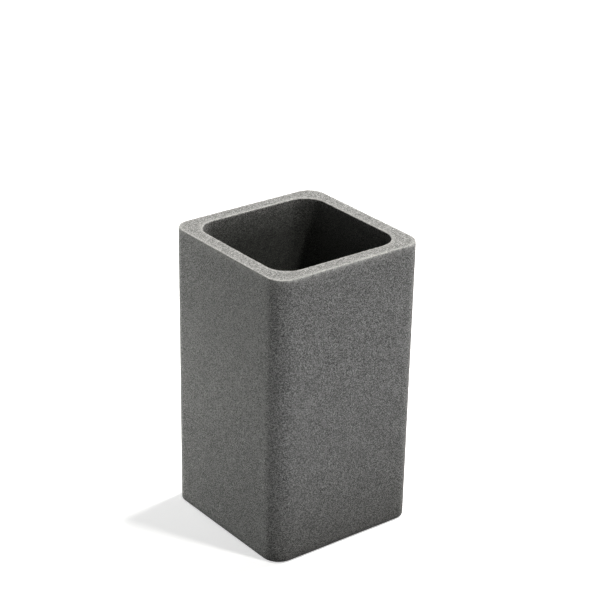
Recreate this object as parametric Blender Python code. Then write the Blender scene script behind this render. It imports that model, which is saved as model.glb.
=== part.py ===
# Square toothbrush holder in cast stone-effect resin, standing on a foam pad.
# Metres, +Z up. The origin is the middle of the pad's underside, on the shelf it stands on.

import math

import bmesh
import bpy

# Overall size
overall_height = 0.1214
rim_width = 0.070  # across two flat sides, at the top
foot_width = 0.0693  # the same at the bottom, so that the casting leaves its mould
outer_corner_radius = 0.0075

# Walls, floor and well
rim_wall = 0.0063
foot_wall = 0.00685  # the core tapers too, so the wall is thicker at the bottom
floor_thickness = 0.0080
well_corner_radius = 0.0093
well_fillet = 0.0050  # where the well's walls run into its floor
fillet_limit_share = 0.9  # most of the well's corner radius that the fillet may take

# Rounded edges
rim_outer_round = 0.0006
rim_inner_round = 0.0005
foot_round = 0.0005

# Pad, and the shallow recess it is stuck into
pad_thickness = 0.0016
pad_proud = 0.0004  # how far the pad lifts the casting off the shelf
pad_edge_round = 0.0002
recess_rim = 0.0030  # land of stone left round the recess
pad_side_gap = 0.0004
seat_gap = 0.0003  # the adhesive film between pad and recess

# Facets
corner_steps = 12
round_steps = 5
fillet_steps = 8
smooth_below = math.radians(30)

# Worked out from the sizes above
rim_half = rim_width / 2
foot_half = foot_width / 2
mouth_half = rim_half - rim_wall
well_floor_half = foot_half - foot_wall
well_floor_height = pad_proud + floor_thickness
fillet_radius = min(well_fillet, well_corner_radius * fillet_limit_share)
recess_half = foot_half - recess_rim
recess_corner_radius = outer_corner_radius - recess_rim
recess_ceiling = pad_thickness + seat_gap
pad_half = recess_half - pad_side_gap
pad_corner_radius = recess_corner_radius - pad_side_gap


def principled(name, colour, roughness):
    material = bpy.data.materials.new(name)
    material.use_nodes = True
    shader = material.node_tree.nodes["Principled BSDF"]
    shader.inputs["Base Color"].default_value = (*colour, 1)
    shader.inputs["Roughness"].default_value = roughness
    shader.inputs["Metallic"].default_value = 0
    return material


def rounded_square(half_width, corner_radius, height):
    """Points of a level square with round corners, anticlockwise from above."""
    centre = half_width - corner_radius
    points = []
    for side_x, side_y, quarter in ((1, 1, 0), (-1, 1, 1), (-1, -1, 2), (1, -1, 3)):
        for step in range(corner_steps + 1):
            angle = (quarter + step / corner_steps) * math.pi / 2
            points.append((
                side_x * centre + corner_radius * math.cos(angle),
                side_y * centre + corner_radius * math.sin(angle),
                height,
            ))
    return points


def round_edge(half_width, corner_radius, height, radius, start, end, steps):
    """Sections of an edge round of this radius, whose centre line is the given section.

    start and end are angles in the wall's profile: 0 faces out, 90 degrees faces up.
    """
    sections = []
    for step in range(steps + 1):
        angle = math.radians(start + (end - start) * step / steps)
        out = radius * math.cos(angle)
        up = radius * math.sin(angle)
        sections.append((half_width + out, corner_radius + out, height + up))
    return sections


def loft(name, sections, material):
    """Close a solid through sections that run from the middle of its underside, up and round."""
    shape = bmesh.new()
    rings = [[shape.verts.new(point) for point in rounded_square(*section)] for section in sections]
    for ring, following in zip(rings, rings[1:]):
        for i, vertex in enumerate(ring):
            j = (i + 1) % len(ring)
            shape.faces.new((vertex, ring[j], following[j], following[i]))
    shape.faces.new(reversed(rings[0]))
    shape.faces.new(rings[-1])
    mesh = bpy.data.meshes.new(name)
    shape.to_mesh(mesh)
    shape.free()
    mesh.materials.append(material)
    mesh.shade_smooth()
    mesh.set_sharp_from_angle(angle=smooth_below)
    piece = bpy.data.objects.new(name, mesh)
    bpy.context.collection.objects.link(piece)
    return piece


def tumbler_body():
    recess = [
        (recess_half, recess_corner_radius, recess_ceiling),
        (recess_half, recess_corner_radius, pad_proud),
    ]
    foot = round_edge(
        foot_half - foot_round, outer_corner_radius - foot_round, pad_proud + foot_round,
        foot_round, -90, 0, round_steps,
    )
    rim_outside = round_edge(
        rim_half - rim_outer_round, outer_corner_radius - rim_outer_round,
        overall_height - rim_outer_round, rim_outer_round, 0, 90, round_steps,
    )
    rim_inside = round_edge(
        mouth_half + rim_inner_round, well_corner_radius + rim_inner_round,
        overall_height - rim_inner_round, rim_inner_round, 90, 180, round_steps,
    )
    well_floor = round_edge(
        well_floor_half - fillet_radius, well_corner_radius - fillet_radius,
        well_floor_height + fillet_radius, fillet_radius, 0, -90, fillet_steps,
    )
    stone = principled("cast stone resin", (0.190, 0.189, 0.183), 0.82)
    return loft("tumbler_body", recess + foot + rim_outside + rim_inside + well_floor, stone)


def base_pad():
    underside = round_edge(
        pad_half - pad_edge_round, pad_corner_radius - pad_edge_round, pad_edge_round,
        pad_edge_round, -90, 0, round_steps,
    )
    top = [(pad_half, pad_corner_radius, pad_thickness)]
    foam = principled("foam pad", (0.018, 0.018, 0.019), 0.95)
    return loft("base_pad", underside + top, foam)


for leftover in list(bpy.data.objects):
    bpy.data.objects.remove(leftover)

tumbler_body()
base_pad()
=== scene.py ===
import math

import bpy
from mathutils import Matrix, Vector, noise


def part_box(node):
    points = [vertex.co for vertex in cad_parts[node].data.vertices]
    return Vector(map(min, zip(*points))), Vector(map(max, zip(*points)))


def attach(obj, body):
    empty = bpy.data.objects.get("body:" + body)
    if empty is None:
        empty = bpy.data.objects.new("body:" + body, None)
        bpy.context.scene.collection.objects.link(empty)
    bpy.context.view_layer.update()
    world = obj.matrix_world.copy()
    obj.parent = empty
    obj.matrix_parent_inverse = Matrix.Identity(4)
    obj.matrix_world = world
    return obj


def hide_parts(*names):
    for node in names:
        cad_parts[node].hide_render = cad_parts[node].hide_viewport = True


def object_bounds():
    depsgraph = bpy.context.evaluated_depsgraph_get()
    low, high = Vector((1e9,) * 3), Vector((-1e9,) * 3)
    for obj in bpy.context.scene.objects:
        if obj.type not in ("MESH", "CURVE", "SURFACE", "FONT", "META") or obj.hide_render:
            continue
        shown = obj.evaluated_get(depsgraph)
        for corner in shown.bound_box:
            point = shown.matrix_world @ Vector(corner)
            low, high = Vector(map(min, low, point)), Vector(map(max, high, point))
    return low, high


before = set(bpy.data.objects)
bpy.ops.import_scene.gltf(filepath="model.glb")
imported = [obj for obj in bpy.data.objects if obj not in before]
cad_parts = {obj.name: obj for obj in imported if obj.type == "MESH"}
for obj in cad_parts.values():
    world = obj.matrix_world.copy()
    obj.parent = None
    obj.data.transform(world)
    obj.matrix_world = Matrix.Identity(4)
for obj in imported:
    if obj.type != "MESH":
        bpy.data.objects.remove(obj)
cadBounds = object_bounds()
print("frame loaded:", ", ".join(sorted(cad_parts)))

mm = 0.001
sharpAbove = math.radians(50)  # edges that turn by more than this stay crisp
fanShare = 0.06  # of a row's size: the small row that a fan closes


# Camera

cameraView = {
    "azimuth": math.radians(-37.86),
    "elevation": math.radians(24.62),
    "roll": math.radians(1.11),
    "distance": 777.5 * mm,
    "shiftRight": 2.39 * mm,  # how far the aim passes the object's middle
    "shiftUp": 29.17 * mm,
    "focalPixels": 1942.2,
    "picturePixels": 600,
    "sensor": 36.0,
}


def makeCamera():
    s = cameraView
    azimuth, elevation, roll = s["azimuth"], s["elevation"], s["roll"]
    level = math.cos(elevation)
    back = Vector((math.sin(azimuth) * level, -math.cos(azimuth) * level, math.sin(elevation)))
    flatRight = Vector((math.cos(azimuth), math.sin(azimuth), 0))
    flatUp = back.cross(flatRight)
    right = math.cos(roll) * flatRight + math.sin(roll) * flatUp
    up = math.cos(roll) * flatUp - math.sin(roll) * flatRight
    middle = (cadBounds[0] + cadBounds[1]) / 2
    data = bpy.data.cameras.new("camera")
    data.sensor_width = s["sensor"]
    data.lens = s["focalPixels"] / s["picturePixels"] * s["sensor"]
    camera = bpy.data.objects.new("camera", data)
    bpy.context.scene.collection.objects.link(camera)
    camera.rotation_euler = Matrix((right, up, back)).transposed().to_euler()
    camera.location = middle + back * s["distance"] + right * s["shiftRight"] + up * s["shiftUp"]
    bpy.context.scene.camera = camera


makeCamera()
print("camera placed")


# Shader nodes

def addNode(tree, kind, **settings):
    made = tree.nodes.new(kind)
    for name, value in settings.items():
        setattr(made, name, value)
    return made


def setInputs(made, **values):
    for name, value in values.items():
        made.inputs[name.replace("_", " ")].default_value = value
    return made


# One sum of two numbers or sockets
def math2(tree, operation, first, second):
    made = addNode(tree, "ShaderNodeMath", operation=operation)
    for slot, value in enumerate((first, second)):
        if isinstance(value, (int, float)):
            made.inputs[slot].default_value = value
        else:
            tree.links.new(value, made.inputs[slot])
    return made.outputs[0]


def newGroup(name, inputs, outputs):
    group = bpy.data.node_groups.new(name, "ShaderNodeTree")
    for label, kind, default in inputs:
        made = group.interface.new_socket(label, in_out="INPUT", socket_type=kind)
        if default is not None:
            made.default_value = default
    for label, kind in outputs:
        group.interface.new_socket(label, in_out="OUTPUT", socket_type=kind)
    return group, addNode(group, "NodeGroupInput"), addNode(group, "NodeGroupOutput")


# Packed grains: each has a tone of its own and stands up a little, with finer dust between them
def makeGrainGroup():
    dustFiner, lowestGrain = 1.6, 0.4  # dust per grain, and the height that every grain has
    group, given, result = newGroup(
        "packedGrain",
        [("Vector", "NodeSocketVector", None), ("Grain", "NodeSocketFloat", 0.6 * mm),
         ("Dust", "NodeSocketFloat", 0.3)],
        [("Tone", "NodeSocketFloat"), ("Height", "NodeSocketFloat")],
    )
    link = group.links.new
    perMetre = math2(group, "DIVIDE", 1, given.outputs["Grain"])
    cells = setInputs(addNode(group, "ShaderNodeTexVoronoi"), Randomness=1.0)
    link(given.outputs["Vector"], cells.inputs["Vector"])
    link(perMetre, cells.inputs["Scale"])
    split = addNode(group, "ShaderNodeSeparateColor")
    link(cells.outputs["Color"], split.inputs[0])
    dust = setInputs(addNode(group, "ShaderNodeTexNoise"), Detail=2.0, Roughness=0.8)
    link(given.outputs["Vector"], dust.inputs["Vector"])
    link(math2(group, "MULTIPLY", perMetre, dustFiner), dust.inputs["Scale"])
    dome = math2(group, "SUBTRACT", 1, cells.outputs["Distance"])
    tall = math2(group, "MULTIPLY", dome, math2(group, "ADD", split.outputs["Green"], lowestGrain))
    for name, grainPart in (("Tone", split.outputs["Red"]), ("Height", tall)):
        mix = addNode(group, "ShaderNodeMix", data_type="FLOAT")
        link(given.outputs["Dust"], mix.inputs["Factor"])
        link(grainPart, mix.inputs["A"])
        link(dust.outputs["Fac"], mix.inputs["B"])
        link(mix.outputs["Result"], result.inputs[name])
    return group


# Pinholes: small round pits, in a share of the cells that spacing sets apart
def makePinholeGroup():
    flatShare = 0.5  # of the radius, from the middle of a pit
    group, given, result = newGroup(
        "pinholes",
        [("Vector", "NodeSocketVector", None), ("Spacing", "NodeSocketFloat", 1 * mm),
         ("Radius", "NodeSocketFloat", 0.2), ("Share", "NodeSocketFloat", 0.3)],
        [("Mask", "NodeSocketFloat")],
    )
    link = group.links.new
    cells = setInputs(addNode(group, "ShaderNodeTexVoronoi"), Randomness=1.0)
    link(given.outputs["Vector"], cells.inputs["Vector"])
    link(math2(group, "DIVIDE", 1, given.outputs["Spacing"]), cells.inputs["Scale"])
    hole = addNode(group, "ShaderNodeMapRange", interpolation_type="SMOOTHSTEP")
    setInputs(hole, To_Min=1.0, To_Max=0.0)
    link(cells.outputs["Distance"], hole.inputs["Value"])
    link(math2(group, "MULTIPLY", given.outputs["Radius"], flatShare), hole.inputs["From Min"])
    link(given.outputs["Radius"], hole.inputs["From Max"])
    split = addNode(group, "ShaderNodeSeparateColor")
    link(cells.outputs["Color"], split.inputs[0])
    chosen = math2(group, "LESS_THAN", split.outputs["Red"], given.outputs["Share"])
    link(math2(group, "MULTIPLY", hole.outputs["Result"], chosen), result.inputs["Mask"])
    return group


# Rubbed edges and a painted highlight on them: a mask that follows the piece's own edge attribute,
# broken up by noise
def makeWearHighlightGroup():
    patchyFrom, patchyTo, leastWearHighlight = 0.38, 0.62, 0.25
    group, given, result = newGroup(
        "wornEdgeHighlight",
        [("Vector", "NodeSocketVector", None), ("Edge", "NodeSocketFloat", 0.0),
         ("Patch", "NodeSocketFloat", 2 * mm), ("Amount", "NodeSocketFloat", 0.5)],
        [("Mask", "NodeSocketFloat")],
    )
    link = group.links.new
    patches = setInputs(addNode(group, "ShaderNodeTexNoise"), Detail=4.0, Roughness=0.75)
    link(given.outputs["Vector"], patches.inputs["Vector"])
    link(math2(group, "DIVIDE", 1, given.outputs["Patch"]), patches.inputs["Scale"])
    spread = addNode(group, "ShaderNodeMapRange", interpolation_type="SMOOTHSTEP")
    setInputs(spread, From_Min=patchyFrom, From_Max=patchyTo, To_Min=leastWearHighlight)
    link(patches.outputs["Fac"], spread.inputs["Value"])
    wornAndLit = math2(group, "MULTIPLY", given.outputs["Edge"], spread.outputs["Result"])
    link(math2(group, "MULTIPLY", wornAndLit, given.outputs["Amount"]), result.inputs["Mask"])
    return group


grainGroup = makeGrainGroup()
pinholeGroup = makePinholeGroup()
wearHighlightGroup = makeWearHighlightGroup()
print("shader groups built")


def placeGroup(tree, group, vector, **values):
    made = addNode(tree, "ShaderNodeGroup", node_tree=group)
    tree.links.new(vector, made.inputs["Vector"])
    return setInputs(made, **values)


def newMaterial(name):
    material = bpy.data.materials.new(name)
    material.use_nodes = True
    tree = material.node_tree
    place = addNode(tree, "ShaderNodeTexCoord").outputs["Object"]
    return material, tree, tree.nodes["Principled BSDF"], place


# Colours along a ramp: pairs of place and colour
def colourRamp(tree, value, stops):
    made = addNode(tree, "ShaderNodeValToRGB")
    ramp = made.color_ramp
    while len(ramp.elements) < len(stops):
        ramp.elements.new(0.5)
    for element, (place, colour) in zip(ramp.elements, stops):
        element.position = place
        element.color = (*colour, 1)
    tree.links.new(value, made.inputs[0])
    return made.outputs["Color"]


# Blends two colours or sockets by a factor or socket
def mixColour(tree, factor, first, second, blend="MIX"):
    made = addNode(tree, "ShaderNodeMix", data_type="RGBA", blend_type=blend)
    for slot, value in ((0, factor), (6, first), (7, second)):  # the colour sockets are 6 and 7
        if isinstance(value, bpy.types.NodeSocket):
            tree.links.new(value, made.inputs[slot])
        elif slot:
            made.inputs[slot].default_value = (*value, 1)
        else:
            made.inputs[slot].default_value = value
    return made.outputs[2]


# A value spread over another range, from 0 to 1 unless the span says otherwise
def mapped(tree, value, **span):
    made = setInputs(addNode(tree, "ShaderNodeMapRange"), **span)
    tree.links.new(value, made.inputs["Value"])
    return made.outputs["Result"]


def addRoughness(tree, shader, value, span):
    rough = mapped(tree, value, To_Min=span[0], To_Max=span[1])
    tree.links.new(rough, shader.inputs["Roughness"])


def addBump(tree, shader, height, depth):
    bump = setInputs(addNode(tree, "ShaderNodeBump"), Strength=1.0, Distance=depth)
    tree.links.new(height, bump.inputs["Height"])
    tree.links.new(bump.outputs["Normal"], shader.inputs["Normal"])


def attributeValue(tree, name):
    return addNode(tree, "ShaderNodeAttribute", attribute_name=name).outputs["Fac"]


# Meshes that run round a rounded square, ring by ring

def roundedRing(half, radius, straightSteps, cornerSteps):
    core = half - radius
    side = [(half, core * (2 * step / straightSteps - 1)) for step in range(straightSteps)]
    for step in range(cornerSteps):
        angle = step / cornerSteps * math.pi / 2
        side.append((core + radius * math.cos(angle), core + radius * math.sin(angle)))
    points = []
    for quarter in (1, 2, 3, 4):  # the seam lies at a back corner
        turn = quarter * math.pi / 2
        for x, y in side:
            points.append((
                x * math.cos(turn) - y * math.sin(turn),
                x * math.sin(turn) + y * math.cos(turn),
            ))
    return points


# Rows of an edge round, so wide and so tall: angles in degrees, 0 faces out and 90 faces up
def edgeRound(half, radius, height, wide, tall, start, end, steps):
    rows = []
    for step in range(steps + 1):
        angle = math.radians(start + (end - start) * step / steps)
        out = wide * math.cos(angle)
        rows.append((half + out, radius + out, height + tall * math.sin(angle)))
    return rows


# Rows between two others, evenly spaced, without the two
def between(first, last, steps):
    return [
        tuple(a + (b - a) * step / steps for a, b in zip(first, last))
        for step in range(1, steps)
    ]


# The small row in the middle of a flat face, where a fan takes over
def fanRow(half, radius, height):
    return half * fanShare, radius * fanShare, height


# Closed mesh through rows of (half width, corner radius, height), with a fan at each end
def ringMesh(name, rows, straightSteps, cornerSteps):
    points = [(0, 0, rows[0][2])]
    for half, radius, height in rows:
        points += [(x, y, height) for x, y in roundedRing(half, radius, straightSteps, cornerSteps)]
    points.append((0, 0, rows[-1][2]))
    around = 4 * (straightSteps + cornerSteps)
    faces = []
    for column in range(around):
        following = (column + 1) % around
        faces.append((0, 1 + following, 1 + column))
        for row in range(len(rows) - 1):
            low = 1 + row * around
            high = low + around
            faces.append((low + column, low + following, high + following, high + column))
        last = 1 + (len(rows) - 1) * around
        faces.append((last + column, last + following, len(points) - 1))
    mesh = bpy.data.meshes.new(name)
    mesh.from_pydata(points, [], faces)
    mesh.update()
    piece = bpy.data.objects.new(name, mesh)
    bpy.context.scene.collection.objects.link(piece)
    return piece


# How close each row is to the edges that are worn, chipped and lit by a painted highlight, by the way
# along the profile: 1 on an edge, 0 far off. An edge is its row and how far this reaches before and
# past it.
def edgeCloseness(rows, edges):
    along = [0.0]
    for (half, _, height), (nextHalf, _, nextHeight) in zip(rows, rows[1:]):
        along.append(along[-1] + math.hypot(nextHalf - half, nextHeight - height))
    closeness = []
    for place in along:
        shares = []
        for row, reachBefore, reachAfter in edges:
            past = place - along[row]
            shares.append(math.exp(-abs(past) / (reachAfter if past > 0 else reachBefore)))
        closeness.append(max(shares))
    return closeness


# Gives each row's value to its points, as an attribute that a material can read
def setRowAttribute(piece, name, values, around):
    attribute = piece.data.attributes.new(name, "FLOAT", "POINT")
    perPoint = [values[0]] + [value for value in values for _ in range(around)] + [values[-1]]
    attribute.data.foreach_set("value", perPoint)
    return perPoint


def shadeSmooth(piece):
    piece.data.shade_smooth()
    piece.data.set_sharp_from_angle(angle=sharpAbove)


# Stone cup

stoneCup = {
    "rimWall": 6.3 * mm,
    "footWall": 6.85 * mm,
    "footNarrower": 0.35 * mm,  # on each side
    "cornerRadius": 7.5 * mm,
    "wellCornerRadius": 9.3 * mm,
    "floorThickness": 8.0 * mm,
    "wellFillet": 5.0 * mm,
    "rimOuterEase": (0.30 * mm, 1.5 * mm),  # width and height of the eased edge
    "rimInnerEase": (0.4 * mm, 0.6 * mm),
    "footEase": (0.45 * mm, 0.6 * mm),
    "recessRim": 3.0 * mm,
    "recessCeiling": 1.9 * mm,
    "straightSteps": 84,
    "cornerSteps": 18,
    "rowSteps": {"recess": 14, "footEase": 6, "foot": 6, "side": 96, "rimOuterEase": 12, "rim": 5,
                 "rimInnerEase": 8, "well": 64, "fillet": 9, "wellFloor": 14},
    "footRows": 2.4 * mm,  # how far up the rows lie close, for the painted shade at the foot
    "outerEdgeStep": 10,  # the steps of the two eased edges where wear, chips and the painted highlight are greatest
    "innerEdgeStep": 2,
    "outerEdgeReach": (1.2 * mm, 0.25 * mm),  # how far wear, chips and the painted highlight reach before and past the edge
    "innerEdgeReach": (0.2 * mm, 0.15 * mm),
    "swell": (22 * mm, 0.05 * mm),  # wavelength and height of the casting's slow waves
    "peel": (3.2 * mm, 0.012 * mm),
    "chipping": (1.2 * mm, 0.10 * mm),  # only along the rim's edges
    "grainTones": [
        (0.00, (0.028, 0.028, 0.027)),
        (0.18, (0.078, 0.078, 0.076)),
        (0.50, (0.193, 0.192, 0.187)),
        (0.82, (0.355, 0.353, 0.343)),
        (1.00, (0.620, 0.617, 0.600)),
    ],
    "grain": 0.235 * mm,
    "dust": 0.04,
    "mottle": (9 * mm, 0.07),  # patch size and how much lighter or darker
    "mottleNoise": (0.3, 0.7),  # the noise values of the darkest and lightest patches
    # lighter rubbed edges: partly real wear, partly a painted highlight on the rim's eased edges
    "wornHighlight": (0.56, 0.555, 0.535),
    "wearHighlightAmount": 0.95,
    "wearHighlightPatch": 1.2 * mm,
    "pinholes": (0.85 * mm, 0.24, 0.45),  # spacing, radius as a share of it, share of places
    # painted shade: the pits are coloured dark as if shaded inside
    "pinholeShade": (0.035, 0.035, 0.034),
    "pinholeSink": 1.2,
    # painted shade: a dark band up from the foot, where the cup meets the floor
    "footShade": (0.030, 0.030, 0.029),
    "footShadeReach": 1.1 * mm,  # up from the foot
    "footShadeAmount": 0.9,
    "wellShadeTones": [  # painted shade: the well gets darker with depth
        (0.00, (1.0, 1.0, 1.0)),
        (0.04, (0.54, 0.55, 0.53)),
        (0.12, (0.25, 0.26, 0.24)),
        (0.35, (0.16, 0.17, 0.15)),
        (1.00, (0.13, 0.14, 0.12)),
    ],
    "roughness": (0.82, 1.0),
    "specular": 0.3,
    "sheen": 0.12,  # the dusty look of the sides seen edge-on
    "sheenRoughness": 0.3,
    "bumpDepth": 0.12 * mm,
}


# Profile from the recess out over the foot, up, over the rim and down the well, with the rows where
# wear and the painted highlight are greatest, each row's depth in the well and its share of the
# painted shade at the foot
def cupRows():
    s = stoneCup
    steps = s["rowSteps"]
    low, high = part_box("tumbler_body")
    rimHalf, foot, top = high.x, low.z, high.z
    footHalf = rimHalf - s["footNarrower"]
    mouthHalf = rimHalf - s["rimWall"]
    wellHalf = footHalf - s["footWall"]
    wellFloor = foot + s["floorThickness"]
    corner, wellCorner = s["cornerRadius"], s["wellCornerRadius"]
    recessHalf, recessCorner = footHalf - s["recessRim"], corner - s["recessRim"]

    ceiling = (recessHalf, recessCorner, s["recessCeiling"])
    rows = between(fanRow(*ceiling), ceiling, steps["recess"])
    rows += [ceiling, (recessHalf, recessCorner, foot)]

    wide, tall = s["footEase"]
    rows += edgeRound(footHalf - wide, corner - wide, foot + tall,
                      wide, tall, -90, 0, steps["footEase"])
    rows += between(rows[-1], (*rows[-1][:2], foot + s["footRows"]), steps["foot"])

    wide, tall = s["rimOuterEase"]
    rimOutside = edgeRound(rimHalf - wide, corner - wide, top - tall,
                           wide, tall, 0, 90, steps["rimOuterEase"])
    rows += between(rows[-1], rimOutside[0], steps["side"])
    outerEdge = len(rows) + s["outerEdgeStep"]
    rows += rimOutside

    wide, tall = s["rimInnerEase"]
    rimInside = edgeRound(mouthHalf + wide, wellCorner + wide, top - tall,
                          wide, tall, 90, 180, steps["rimInnerEase"])
    rows += between(rows[-1], rimInside[0], steps["rim"])
    innerEdge = len(rows) + s["innerEdgeStep"]
    rows += rimInside

    curve = s["wellFillet"]
    fillet = edgeRound(wellHalf - curve, wellCorner - curve, wellFloor + curve,
                       curve, curve, 0, -90, steps["fillet"])
    rows += between(rows[-1], fillet[0], steps["well"]) + fillet
    rows += between(rows[-1], fanRow(*rows[-1][:2], wellFloor), steps["wellFloor"])

    edges = ((outerEdge, *s["outerEdgeReach"]), (innerEdge, *s["innerEdgeReach"]))
    depths = [0.0] * innerEdge
    depths += [max(0.0, top - height) / (top - wellFloor) for _, _, height in rows[innerEdge:]]
    # each row's share of the painted shade at the foot, fading upwards
    footShade = [math.exp(-max(0.0, height - foot) / s["footShadeReach"]) for _, _, height in rows]
    return rows, edges, depths, footShade


# The casting's own unevenness, and small chips where the edges are worn
def castRelief(piece, closeness):
    s = stoneCup
    vertices = piece.data.vertices
    placed = [vertex.co.copy() for vertex in vertices]
    normals = [vertex.normal.copy() for vertex in vertices]
    apart = Vector((7.3, 2.1, 5.9))  # keeps the three noises from lining up
    for i, vertex in enumerate(vertices):
        height = 0
        for turn, name in enumerate(("swell", "peel", "chipping")):
            wave, amount = s[name]
            share = closeness[i] if name == "chipping" else 1
            height += noise.noise(placed[i] / wave + apart * turn) * amount * share
        vertex.co = placed[i] + normals[i] * height


def stoneMaterial():
    s = stoneCup
    material, tree, shader, place = newMaterial("castStone")
    grain = placeGroup(tree, grainGroup, place, Grain=s["grain"], Dust=s["dust"])
    colour = colourRamp(tree, grain.outputs["Tone"], s["grainTones"])

    patch, strength = s["mottle"]
    darkest, lightest = s["mottleNoise"]
    mottle = addNode(tree, "ShaderNodeTexNoise")
    setInputs(mottle, Scale=1 / patch, Detail=3.0, Roughness=0.6)
    tree.links.new(place, mottle.inputs["Vector"])
    shade = mapped(tree, mottle.outputs["Fac"], From_Min=darkest, From_Max=lightest,
                   To_Min=1 - strength, To_Max=1 + strength)
    colour = mixColour(tree, 1.0, colour, shade, "MULTIPLY")

    # lighter edges: partly wear, partly a painted highlight on the rim's eased edges
    wearHighlight = placeGroup(tree, wearHighlightGroup, place, Patch=s["wearHighlightPatch"], Amount=s["wearHighlightAmount"])
    tree.links.new(attributeValue(tree, "edge"), wearHighlight.inputs["Edge"])
    colour = mixColour(tree, wearHighlight.outputs["Mask"], colour, s["wornHighlight"])

    spacing, radius, share = s["pinholes"]
    holes = placeGroup(tree, pinholeGroup, place, Spacing=spacing, Radius=radius, Share=share)
    # the pits painted dark, for the shade inside them
    colour = mixColour(tree, holes.outputs["Mask"], colour, s["pinholeShade"])

    # painted shade along the foot, where the cup meets the floor
    footShaded = math2(tree, "MULTIPLY", attributeValue(tree, "footShade"), s["footShadeAmount"])
    colour = mixColour(tree, footShaded, colour, s["footShade"])

    # painted shade in the well, darker with depth
    wellShade = colourRamp(tree, attributeValue(tree, "depth"), s["wellShadeTones"])
    colour = mixColour(tree, 1.0, colour, wellShade, "MULTIPLY")
    tree.links.new(colour, shader.inputs["Base Color"])

    setInputs(shader, Specular_IOR_Level=s["specular"], Sheen_Weight=s["sheen"],
              Sheen_Roughness=s["sheenRoughness"])
    addRoughness(tree, shader, grain.outputs["Tone"], s["roughness"])
    sunk = math2(tree, "MULTIPLY", holes.outputs["Mask"], s["pinholeSink"])
    height = math2(tree, "SUBTRACT", grain.outputs["Height"], sunk)
    addBump(tree, shader, height, s["bumpDepth"])
    return material


def makeCup():
    s = stoneCup
    rows, edges, depths, footShade = cupRows()
    cup = ringMesh("stone_cup", rows, s["straightSteps"], s["cornerSteps"])
    around = 4 * (s["straightSteps"] + s["cornerSteps"])
    closeness = setRowAttribute(cup, "edge", edgeCloseness(rows, edges), around)
    setRowAttribute(cup, "depth", depths, around)
    setRowAttribute(cup, "footShade", footShade, around)
    castRelief(cup, closeness)
    shadeSmooth(cup)
    cup.data.materials.append(stoneMaterial())
    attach(cup, "root")
    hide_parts("tumbler_body")
    print("stone cup:", len(cup.data.polygons), "faces")


makeCup()


# Foam pad

foamPad = {
    "cornerRadius": 4.1 * mm,
    "edgeRound": 0.2 * mm,
    "bulge": 0.05 * mm,  # how far the cut sides sink in at half height
    "straightSteps": 40,
    "cornerSteps": 10,
    "rowSteps": {"underside": 30, "edge": 3, "top": 8},
    "darkCell": (0.010, 0.010, 0.011),
    "lightCell": (0.028, 0.028, 0.029),
    "cell": 0.35 * mm,
    "dust": 0.2,
    "roughness": (0.85, 1.0),
    "bumpDepth": 0.06 * mm,
}


def padRows():
    s = foamPad
    steps = s["rowSteps"]
    low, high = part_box("base_pad")
    half, corner = high.x, s["cornerRadius"]
    foot, middle, top = low.z, (low.z + high.z) / 2, high.z
    edge = s["edgeRound"]
    lower = edgeRound(half - edge, corner - edge, foot + edge, edge, edge, -90, 0, steps["edge"])
    upper = edgeRound(half - edge, corner - edge, top - edge, edge, edge, 0, 90, steps["edge"])
    rows = between(fanRow(half, corner, foot), lower[0], steps["underside"]) + lower
    rows += [(half - s["bulge"], corner - s["bulge"], middle)]
    rows += upper + between(upper[-1], fanRow(half, corner, top), steps["top"])
    return rows


def padMaterial():
    s = foamPad
    material, tree, shader, place = newMaterial("closedCellFoam")
    cells = placeGroup(tree, grainGroup, place, Grain=s["cell"], Dust=s["dust"])
    colour = mixColour(tree, cells.outputs["Tone"], s["darkCell"], s["lightCell"])
    tree.links.new(colour, shader.inputs["Base Color"])
    addRoughness(tree, shader, cells.outputs["Tone"], s["roughness"])
    addBump(tree, shader, cells.outputs["Height"], s["bumpDepth"])
    return material


def makePad():
    s = foamPad
    pad = ringMesh("foam_pad", padRows(), s["straightSteps"], s["cornerSteps"])
    shadeSmooth(pad)
    pad.data.materials.append(padMaterial())
    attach(pad, "root")
    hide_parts("base_pad")
    print("foam pad:", len(pad.data.polygons), "faces")


makePad()


# Floor, world and lamps

studio = {
    "floorSize": 2.8,
    "floorAside": 0.2,  # keeps the diagonal of its one face from showing under the pad
    "floorDrop": 0.1 * mm,  # keeps the floor from sharing the pad's own plane
    "floorGlow": 0.593,  # what the camera sees of it, besides the light that falls on it
    "floorSeen": 0.90,
    "floorBounce": 0.13,  # its colour for every other ray
    "backdrop": 1.0,
    "ambient": 0.045,
    "warm": (1.0, 0.990, 0.962),
    "plain": (0.985, 1.0, 0.975),
    "cool": (0.93, 0.95, 1.0),
}

# Each lamp faces the middle of the object, or straight up where it lies on the floor as a card
lamps = {
    "overhead": {"place": (0.543, -0.004, 1.85), "size": (0.30, 0.30), "watts": 49.5, "tint": "warm"},
    "front": {"place": (0.355, -0.81, 1.65), "size": (0.10, 0.10), "watts": 12.5, "tint": "warm"},
    "left": {"place": (-0.95, 0.10, 0.08), "size": (0.60, 0.12), "watts": 0.76, "tint": "plain"},
    "nearLeft": {"place": (-0.13, 0.19, 0.032), "size": (0.10, 0.06), "watts": 0.292, "tint": "plain"},
    "behind": {"place": (0.05, 0.85, 0.03), "size": (0.30, 0.05), "watts": 4.6, "tint": "plain"},
    "right": {"place": (0.60, -0.05, 0.05), "size": (0.30, 0.06), "watts": 0.4, "tint": "plain"},
    "frontCard": {"place": (-0.05, -0.15, 0.002), "size": (0.10, 0.10), "watts": 0.083, "tint": "cool",
                  "liesFlat": True},
    "rightCard": {"place": (0.10, -0.20, 0.002), "size": (0.12, 0.12), "watts": 0.176, "tint": "cool",
                  "liesFlat": True},
}


def grey(level):
    return level, level, level, 1


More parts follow.
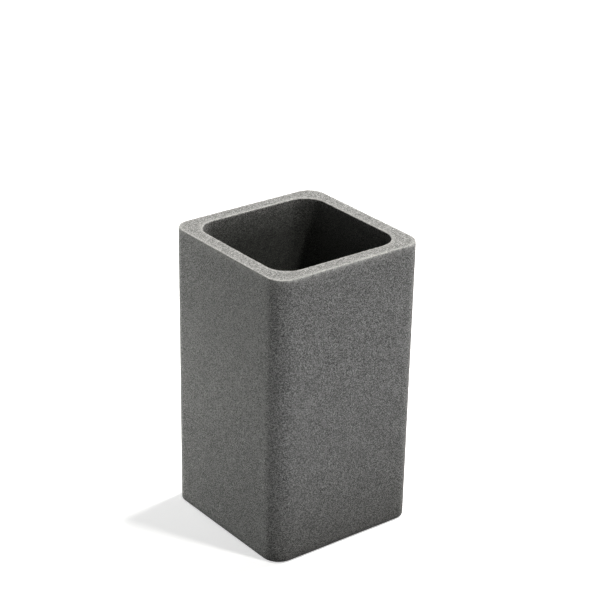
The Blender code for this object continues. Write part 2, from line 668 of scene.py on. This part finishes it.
# 1 for the rays that see a thing itself, straight, in gloss or through glass, and 0 for its light
def seenRays(tree):
    rays = addNode(tree, "ShaderNodeLightPath")
    seen = rays.outputs["Is Camera Ray"]
    for other in ("Is Glossy Ray", "Is Transmission Ray"):
        seen = math2(tree, "MAXIMUM", seen, rays.outputs[other])
    return seen


def mixShaders(tree, factor, first, second):
    made = addNode(tree, "ShaderNodeMixShader")
    for slot, socket in enumerate((factor, first, second)):
        tree.links.new(socket, made.inputs[slot])
    return made.outputs[0]


def makeFloor():
    half = studio["floorSize"] / 2
    mesh = bpy.data.meshes.new("floor")
    corners = [(-half, -half), (half, -half), (half, half), (-half, half)]
    aside, drop = studio["floorAside"], studio["floorDrop"]
    mesh.from_pydata([(x + aside, y, -drop) for x, y in corners], [], [(0, 1, 2, 3)])
    floor = bpy.data.objects.new("floor", mesh)
    bpy.context.scene.collection.objects.link(floor)
    material = bpy.data.materials.new("paleFloor")
    material.use_nodes = True
    tree = material.node_tree
    tree.nodes.clear()
    glow = setInputs(addNode(tree, "ShaderNodeEmission"), Strength=studio["floorGlow"])
    soft = setInputs(addNode(tree, "ShaderNodeBsdfDiffuse"), Color=grey(studio["floorSeen"]))
    bounce = setInputs(addNode(tree, "ShaderNodeBsdfDiffuse"), Color=grey(studio["floorBounce"]))
    both = addNode(tree, "ShaderNodeAddShader")
    tree.links.new(glow.outputs[0], both.inputs[0])
    tree.links.new(soft.outputs[0], both.inputs[1])
    above = mixShaders(tree, seenRays(tree), bounce.outputs[0], both.outputs[0])
    below = addNode(tree, "ShaderNodeBsdfTransparent").outputs[0]  # from there the floor isn't seen
    fromBelow = addNode(tree, "ShaderNodeNewGeometry").outputs["Backfacing"]
    surface = mixShaders(tree, fromBelow, above, below)
    tree.links.new(surface, addNode(tree, "ShaderNodeOutputMaterial").inputs["Surface"])
    mesh.materials.append(material)


def makeWorld():
    world = bpy.data.worlds.new("studio")
    bpy.context.scene.world = world
    world.use_nodes = True
    tree = world.node_tree
    tree.nodes.clear()
    ambient = addNode(tree, "ShaderNodeBackground")
    backdrop = addNode(tree, "ShaderNodeBackground")
    setInputs(ambient, Color=grey(1), Strength=studio["ambient"])
    setInputs(backdrop, Color=grey(1), Strength=studio["backdrop"])
    surface = mixShaders(tree, seenRays(tree), ambient.outputs[0], backdrop.outputs[0])
    tree.links.new(surface, addNode(tree, "ShaderNodeOutputWorld").inputs["Surface"])


def makeLamps():
    middle = (cadBounds[0] + cadBounds[1]) / 2
    for name, s in lamps.items():
        data = bpy.data.lights.new(name, "AREA")
        data.shape = "RECTANGLE"
        data.size, data.size_y = s["size"]
        data.energy = s["watts"]
        data.color = studio[s["tint"]]
        lamp = bpy.data.objects.new(name, data)
        bpy.context.scene.collection.objects.link(lamp)
        lamp.location = s["place"]
        away = Vector((0, 0, -1)) if s.get("liesFlat") else Vector(s["place"]) - middle
        lamp.rotation_euler = away.to_track_quat("Z", "Y").to_euler()


makeFloor()
makeWorld()
makeLamps()
bpy.context.scene.view_settings.view_transform = "Standard"
print("studio lit")
